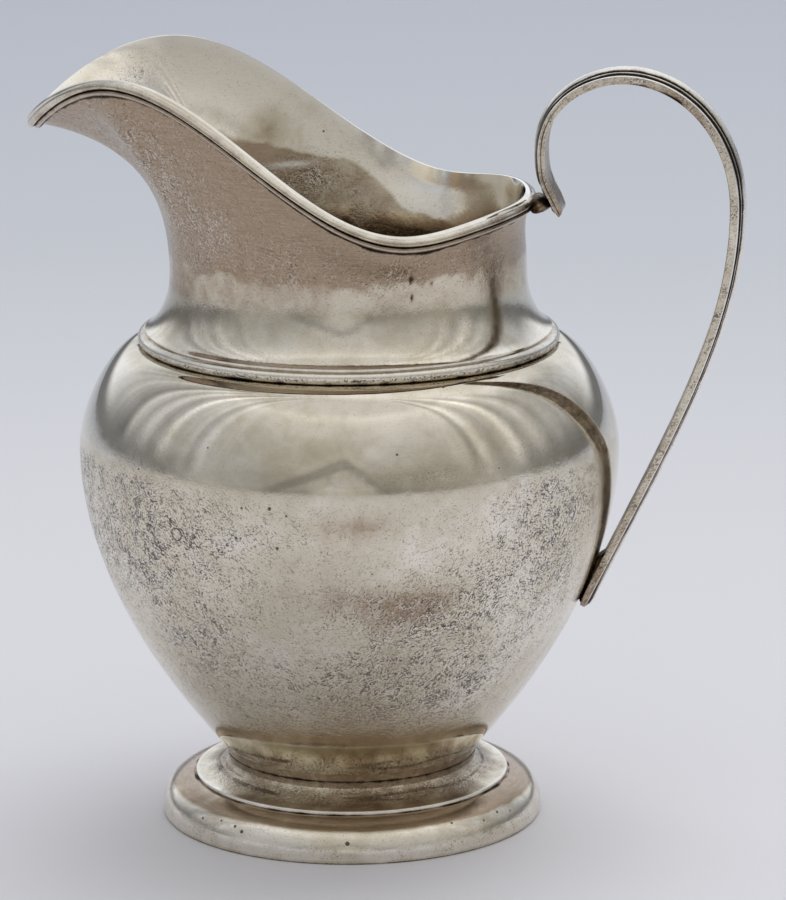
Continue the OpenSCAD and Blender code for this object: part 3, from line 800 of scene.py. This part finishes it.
wire_x = mouth_back + wire_t
upright_x = wire_x + strap_t * 0.22
loop_x = bowl_r + handle_out
foot_t = strap_t * foot_taper
curl_end = np.array([wire_x + curl_out, lip_back_z - curl_drop])
upright = np.array([upright_x, lip_back_z + upright_rise])
top = np.array([mix(upright_x, loop_x, 0.426), lip_back_z + loop_rise])
wide = np.array([loop_x, lip_back_z - wide_drop])
foot_away = heading(side_curve, handle_foot)
foot_mid = curve(side_curve, handle_foot) - (solder_t + foot_t / 2) * left_of(foot_away)
foot_dir = polar(math.degrees(math.atan2(foot_away[1], foot_away[0])) - foot_lean)
strap_line = [
    points(curl_end, curl_end + curl_drop * np.array([-0.59, 1.56]),
           upright - [0, upright_rise * 0.8], upright),
    points(upright, upright + [0, loop_rise * 0.444], top - [loop_rise * 0.265, 0], top),
    points(top, top + [loop_rise * 0.48, 0], wide + [0, loop_rise * 0.616], wide),
    points(wide, wide - [0, loop_rise * 0.97], foot_mid + loop_rise * 1.54 * foot_dir, foot_mid)]
strap_sizes = [curl_taper, curl_taper, mix(curl_taper, 1, 0.6), 1, foot_taper]


def rounded(run, length, least):
    """Share of the full thickness at a run from a rounded end."""
    return np.sqrt(np.clip(1 - np.clip(1 - run / length, 0, 1) ** 2, least, 1))


def handle():
    section, groove, on_face, within = strap_section()
    middle, side, size, narrow = [], [], [], []
    for k, n in enumerate((40, 40, 64, 84)):
        t = np.linspace(0, 1, n + 1)[0 if k == 0 else 1:]
        middle.append(curve(strap_line[k], t))
        side.append(left_of(heading(strap_line[k], t)))
        size.append(mix(strap_sizes[k], strap_sizes[k + 1], t))
        taper = mix(tip_w, 1, np.sin(math.pi / 2 * np.minimum(t / 0.2, 1)))
        narrow.append(taper if k == 0 else np.ones_like(t))
    middle, side = np.vstack(middle), np.vstack(side)
    size, narrow = np.concatenate(size), np.concatenate(narrow)
    # The free end is filed round, the foot is cut square with its edge just broken
    travel = np.linalg.norm(np.diff(middle, axis=0, prepend=middle[:1]), axis=1).cumsum()
    left = travel[-1] - travel
    thin = rounded(travel, strap_t * 0.4, 0.08) * rounded(left, 0.25, 0.62)
    cuts = section[None] * size[:, None, None] * np.stack([narrow, thin], -1)[:, None]
    across, out = cuts[..., 0], cuts[..., 1]
    verts = np.stack([middle[:, :1] + out * side[:, :1], across, middle[:, 1:] + out * side[:, 1:]], -1)
    verts = verts.reshape(-1, 3)
    rows, n = len(middle), len(section)
    faces = [f[::-1] for f in quads(rows, n, False)]
    faces += [list(range(n)), list(range(rows * n - 1, (rows - 1) * n - 1, -1))]

    back = np.repeat(left, n)
    wave = wander(verts, 0.45, 19.0)
    deep, face, inner = np.tile(groove, rows), np.tile(on_face, rows), np.tile(within, rows)
    flank = ~face & ~inner
    height = np.tile(section[:, 1] + strap_t / 2, rows)
    off_middle = np.tile(np.abs(section[:, 0]), rows)
    off_edge = strap_w / 2 - off_middle
    lip_joint_off = np.linalg.norm(verts - [wire_x + 0.6, 0, lip_back_z - 1], axis=1)
    # Dark hollow between light edges on the inner face, tarnish with painted shade; brown film; a dark line
    # up the flanks, with painted shade along their inner edge
    hollow = inner * ease((off_edge - 0.25) / 0.4)
    upright_part = ease((22 - np.repeat(travel, n)) / 8)
    corroded = bump(np.hypot(verts[:, 0] - mix(top[0], wide[0], 0.45), verts[:, 2] - top[1] + 2.5), 6)
    flank_dirt_and_shade = 0.4 * bump(height, 0.2) * (0.5 + wave) + 0.75 * upright_part * bump(height - 0.7, 0.13)
    flank_dirt_and_shade += 0.75 * corroded * bump(height, 0.7) * (0.7 + wave)
    # Dirt in the grooves between the reeds, deepened as painted shade
    dirt_and_shade = 1.4 * deep * (0.85 + 0.25 * wave) + 0.6 * bump(lip_joint_off, 2.0) + 0.35 * bump(back, 3.0)
    dirt_and_shade += hollow * (0.55 - 0.2 * upright_part) + flank * flank_dirt_and_shade
    stain_shade_and_reflection = 0.15 + 0.3 * wave + 0.5 * bump(lip_joint_off, 7) + 0.45 * bump(back, 9)
    stain_shade_and_reflection += 0.5 * flank + 0.9 * hollow + 0.4 * corroded
    pits = 0.3 + 0.4 * wave + 0.3 * flank
    # Light worn edges, with painted highlights along the crown and the crests of the reeds
    side_crest = off_edge - edge_reed_w - side_reed_w * 0.4
    edge = bump(off_edge - 0.1, 0.2) * ~flank + 0.8 * face * bump(off_edge - edge_reed_w / 2, 0.3)
    edge += face * (1.2 * bump(off_middle, 1.2) + 0.6 * bump(side_crest, 0.3))
    piece("reeded_strap", "handle_strap", verts, faces,
          {"dirt_and_shade": dirt_and_shade, "stain_shade_and_reflection": stain_shade_and_reflection, "pits": pits, "matt": 0.02, "edge": edge}, wire_silver, crease=50)


def blob(name, node, rings, seed):
    """Lumpy closed piece skinned over a row of loops."""
    rows, n = rings.shape[:2]
    verts = rings.reshape(-1, 3)
    middle = rings.mean(1).repeat(n, 0)
    verts = verts + (verts - middle) * (0.14 * wander(verts, 0.9, seed))[:, None]
    faces = quads(rows, n, False) + [list(range(n))[::-1], list(range((rows - 1) * n, rows * n))]
    piece(name, node, verts, faces, {"dirt_and_shade": 0.5}, dark_solder, crease=60)


loop_turn = np.linspace(0, 2 * math.pi, 24, endpoint=False)


def lip_joint():
    """Bar of solder across the strap behind the lip."""
    bar_r, bar_w = curl_out * 0.4, (strap_w - edge_reed_w) / 2 * curl_taper
    along = np.sin(np.linspace(-math.pi / 2, math.pi / 2, 25))
    girth = bar_r * np.sqrt(np.clip(1 - along**4, 0.02, 1))[:, None]
    back_r = mouth_side * mouth_side / mouth_back + wire_t
    y = (along * bar_w)[:, None]
    bend = np.sqrt(back_r**2 - y**2) - back_r
    x = wire_x + curl_out * 0.18 + bend + 1.25 * girth * np.cos(loop_turn)
    z = lip_back_z - wire_h * 0.55 + 0.95 * girth * np.sin(loop_turn) * (1 - 0.35 * np.cos(loop_turn))
    rings = np.stack([x, np.broadcast_to(y, x.shape), z], -1)
    blob("lip_joint", "lip_solder", rings[:, ::-1], 3.0)


def foot_wedge():
    """Thin wedge of solder between the bowl and the strap's foot."""
    rings = []
    for t in np.linspace(0, 1, 20):
        on_strap = 1 - 0.11 * t
        on_side = np.clip(handle_foot + 0.01 + 0.115 * t, 0, 1)
        strap_side = left_of(heading(strap_line[3], on_strap))
        inner = curve(strap_line[3], on_strap) - strap_side * (foot_t / 2 - 0.3)
        outer = curve(side_curve, on_side) + 0.2 * left_of(heading(side_curve, on_side))
        centre, reach = (inner + outer) / 2, (outer - inner) / 2
        half = (strap_w - strap_edge) / 2 * foot_taper * (1 - 0.3 * t)
        pinch = 1 - 0.22 * np.sin(loop_turn) ** 2 * (0.4 + t)
        rings.append(np.stack([centre[0] + reach[0] * np.cos(loop_turn), half * np.sin(loop_turn) * pinch,
                               centre[1] + reach[1] * np.cos(loop_turn)], -1))
    blob("foot_wedge", "handle_solder", np.array(rings), 7.0)


bowl()
foot_cove()
foot_rim()
foot_joint()
girdle()
neck()
rim()
handle()
lip_joint()
foot_wedge()


# Table, studio and camera

# Table from front to back, darker and bluer towards the back: painted falloff of the light
TABLE_FALLOFF_TONES = [(0.0, (0.85, 0.848, 0.905)), (0.25, (0.745, 0.748, 0.796)), (0.6, (0.565, 0.588, 0.642)),
               (1.0, (0.49, 0.523, 0.597))]
TABLE_MOTTLE = (0.5, 0.52, 0.56, 1)
# Brightness of the tent: by the height of a direction, then by its bearing in degrees
TENT_RISE = [(0.0, 0.36), (0.14, 0.41), (0.24, 0.46), (0.34, 0.50), (0.5, 0.545), (0.64, 0.60),
             (0.79, 0.73), (0.85, 0.86), (0.9, 0.70), (1.0, 0.66)]
TENT_SKIRT = [(-180, 0.18), (-125, 0.2), (-92, 0.22), (-62, 0.50), (-44, 0.47), (-30, 0.38), (-19, 0.40),
              (-11, 0.57), (0, 0.58), (7, 0.54), (14, 0.36), (36, 0.37), (58, 0.46), (90, 0.24),
              (125, 0.2), (180, 0.18)]
TENT_FOLDS = [(-130, 0.5), (-117, 0.32), (-112, 0.56), (-106, 0.40), (-102, 0.62), (-97, 0.36), (-93, 0.40),
              (-89, 0.84), (-85, 0.46), (-79, 0.56), (-73, 0.40), (-66, 0.56), (-52, 0.5), (0, 0.5),
              (46, 0.5), (53, 0.60), (58, 0.40), (63, 0.70), (68, 0.40), (74, 0.48), (79, 0.78),
              (84, 0.36), (92, 0.56), (100, 0.42), (112, 0.5)]
# Opening of the tent: the height of its edge, and how far round it goes
OPENING_EDGE = [(-36, 0.0), (-5, 0.39), (-1, 0.40), (19, 0.0)]
OPENING_SPAN = [(-37, 0.0), (-32, 1.0), (16, 1.0), (20, 0.0)]
# Directions to the bright panel and the lens: bearing and elevation
PANEL_AT = (160, 62)
LENS_AT = (0, 13.5)
WHITE = (1.0, 1.0, 1.0, 1)
BACK_TINT, FRONT_TINT, LEFT_TINT = (0.93, 0.965, 1.03, 1), (1.0, 0.985, 0.955, 1), (0.965, 0.985, 1.02, 1)


def table():
    """Pale table top, bluer towards the back and dimmer there as painted falloff of the light."""
    reach, n = 3000.0, 96
    turn = np.linspace(0, 2 * math.pi, n, endpoint=False)
    edge = [(reach * MM * math.cos(a), reach * MM * math.sin(a), 0) for a in turn]
    mesh = bpy.data.meshes.new("table_top")
    mesh.from_pydata(edge, [], [list(range(n))])
    material, g = new_material("table_paper")
    place = g.add("ShaderNodeTexCoord").outputs["Object"]
    depth = g.add("ShaderNodeSeparateXYZ", {0: place}).outputs[1]
    colour = g.ramp(g.soft(depth, -0.25, 0.9), TABLE_FALLOFF_TONES)
    mottle = g.noise(place, 9.0, 5, 0.6)
    colour = g.blend(g.soft(mottle, 0.3, 0.8, 0.0, 0.04), colour, TABLE_MOTTLE)
    g.surface({"Base Color": colour, "Roughness": 0.75})
    mesh.materials.append(material)
    top = thing_of("table_top", mesh)


def studio():
    """Soft tent of cloth: dim at the table's edge, brighter above, with folds, gathered round the lens."""
    world = bpy.data.worlds.new("studio")
    bpy.context.scene.world = world
    world.use_nodes = True
    g = Graph(world.node_tree)
    ray = g.add("ShaderNodeTexCoord").outputs["Generated"]

    def towards(direction):
        return g.vector("DOT_PRODUCT", ray, tuple(direction), out=1)

    height = g.add("ShaderNodeSeparateXYZ", {0: ray}).outputs[2]
    across, ahead = towards(RIGHT), towards(FRONT)
    bearing = g.math("MULTIPLY_ADD", g.math("ARCTAN2", across, ahead), 0.5 / math.pi, 0.5)

    def by_bearing(stops, interpolation="LINEAR"):
        return g.ramp(bearing, [(at / 360 + 0.5, level) for at, level in stops], interpolation)

    level = g.blend(g.soft(height, 0.03, 0.34), by_bearing(TENT_SKIRT, "EASE"), g.ramp(height, TENT_RISE))
    # Two dark edges of the opening, which meet above the lens, with a light hem over them
    opening = by_bearing(OPENING_SPAN)
    apart = g.math("SUBTRACT", height, by_bearing(OPENING_EDGE))
    leg = g.math("MULTIPLY", opening, g.soft(g.math("ABSOLUTE", apart), 0.09, 0.035))
    off_hem = g.math("ABSOLUTE", g.math("SUBTRACT", apart, 0.13))
    hem = g.math("MULTIPLY", opening, g.soft(off_hem, 0.06, 0.0))
    edges = g.math("MULTIPLY_ADD", leg, -0.28, g.math("MULTIPLY_ADD", hem, 0.08, 1.0))
    level = g.vector("SCALE", level, scale=edges)
    # Upright folds on both sides
    turn = g.add("ShaderNodeCombineXYZ", {0: g.math("MULTIPLY", bearing, 60.0)}).outputs[0]
    ripple = g.noise(turn, 1.0, 3, 0.55)
    aside = g.soft(g.math("ABSOLUTE", g.math("SUBTRACT", bearing, 0.5)), 42 / 360, 58 / 360)
    swell = g.math("MULTIPLY_ADD", aside, g.soft(ripple, 0.3, 0.7, -0.2, 0.2), 1.0)
    folds = g.vector("SCALE", by_bearing(TENT_FOLDS, "EASE"), scale=swell)
    folded = g.vector("MULTIPLY", level, g.vector("SCALE", folds, scale=2.0))
    level = g.blend(g.soft(height, 0.02, 0.2), level, folded)
    # Bright panel of the tent, high behind the jug, and the bright wall below it
    panel = around(PANEL_AT[0], *polar(PANEL_AT[1]))
    level = g.blend(g.soft(towards(panel), 0.80, 0.93), level, WHITE)
    wall = g.math("MULTIPLY", g.soft(height, 0.06, 0.16), g.soft(height, 0.6, 0.42))
    wall = g.math("MULTIPLY", g.soft(ahead, -0.58, -0.9), wall)
    level = g.blend(wall, level, WHITE)
    # Creases that run to the lens, and its ring
    lens = around(LENS_AT[0], *polar(LENS_AT[1]))
    to_lens, upwards = towards(lens), towards(np.cross(RIGHT, -lens))
    spoke = g.vector("NORMALIZE", g.add("ShaderNodeCombineXYZ", {0: across, 1: upwards}).outputs[0])
    crease = g.noise(spoke, 3.4, 3, 0.6)
    near = g.soft(to_lens, 0.72, 0.97)
    dim = g.math("MULTIPLY_ADD", g.math("MULTIPLY", near, g.math("SUBTRACT", crease, 0.5)), 0.5, 1.0)
    dim = g.math("MULTIPLY", dim, g.soft(to_lens, 0.986, 0.9885, 1.0, 0.86))
    dim = g.math("MULTIPLY", dim, g.soft(to_lens, 0.990, 0.993, 1.0, 1.2))
    level = g.vector("SCALE", level, scale=dim)
    tint = g.blend(g.soft(ahead, -0.7, 0.2), BACK_TINT, FRONT_TINT)
    tint = g.blend(g.soft(across, -0.15, -0.9), tint, LEFT_TINT)
    shade = g.vector("MULTIPLY", level, tint)
    back = g.add("ShaderNodeBackground", {"Color": shade, "Strength": 1.0})
    g.add("ShaderNodeOutputWorld", {"Surface": back.outputs[0]})


# Lamp: width, place and the point that it shines at, in metres
LAMP_WIDTH, LAMP_AT, LAMP_AIM = 1.2, (0.22, 0.5, 1.15), (0, 0, 0.05)
# Camera: lens and film width in millimetres, place in metres, tilt and roll in degrees
LENS, FILM_WIDTH = 197.52, 36.0
CAMERA_AT = (0.09006, -0.68239, 0.22008)
TILT, ROLL = 13.616, -0.3


def lamp():
    """Wide soft lamp overhead, behind the jug and to its right."""
    light = bpy.data.lights.new("overhead", "AREA")
    light.shape = "DISK"
    light.size = LAMP_WIDTH
    light.energy = 4.5
    light.color = (1.0, 0.985, 0.96)
    thing = thing_of("overhead", light)
    thing.location = LAMP_AT
    thing.visible_glossy = False
    thing.rotation_euler = (Vector(LAMP_AIM) - thing.location).to_track_quat("-Z", "Y").to_euler()


def spin(angle, axis):
    return Matrix.Rotation(math.radians(angle), 3, axis)


def camera():
    eye = bpy.data.cameras.new("camera")
    eye.sensor_width = FILM_WIDTH
    eye.lens = LENS
    thing = thing_of("camera", eye)
    thing.location = CAMERA_AT
    thing.rotation_euler = (spin(BEARING, "Z") @ spin(90 - TILT, "X") @ spin(ROLL, "Z")).to_euler()
    bpy.context.scene.camera = thing


table()
studio()
lamp()
camera()
bpy.context.scene.view_settings.view_transform = "Standard"
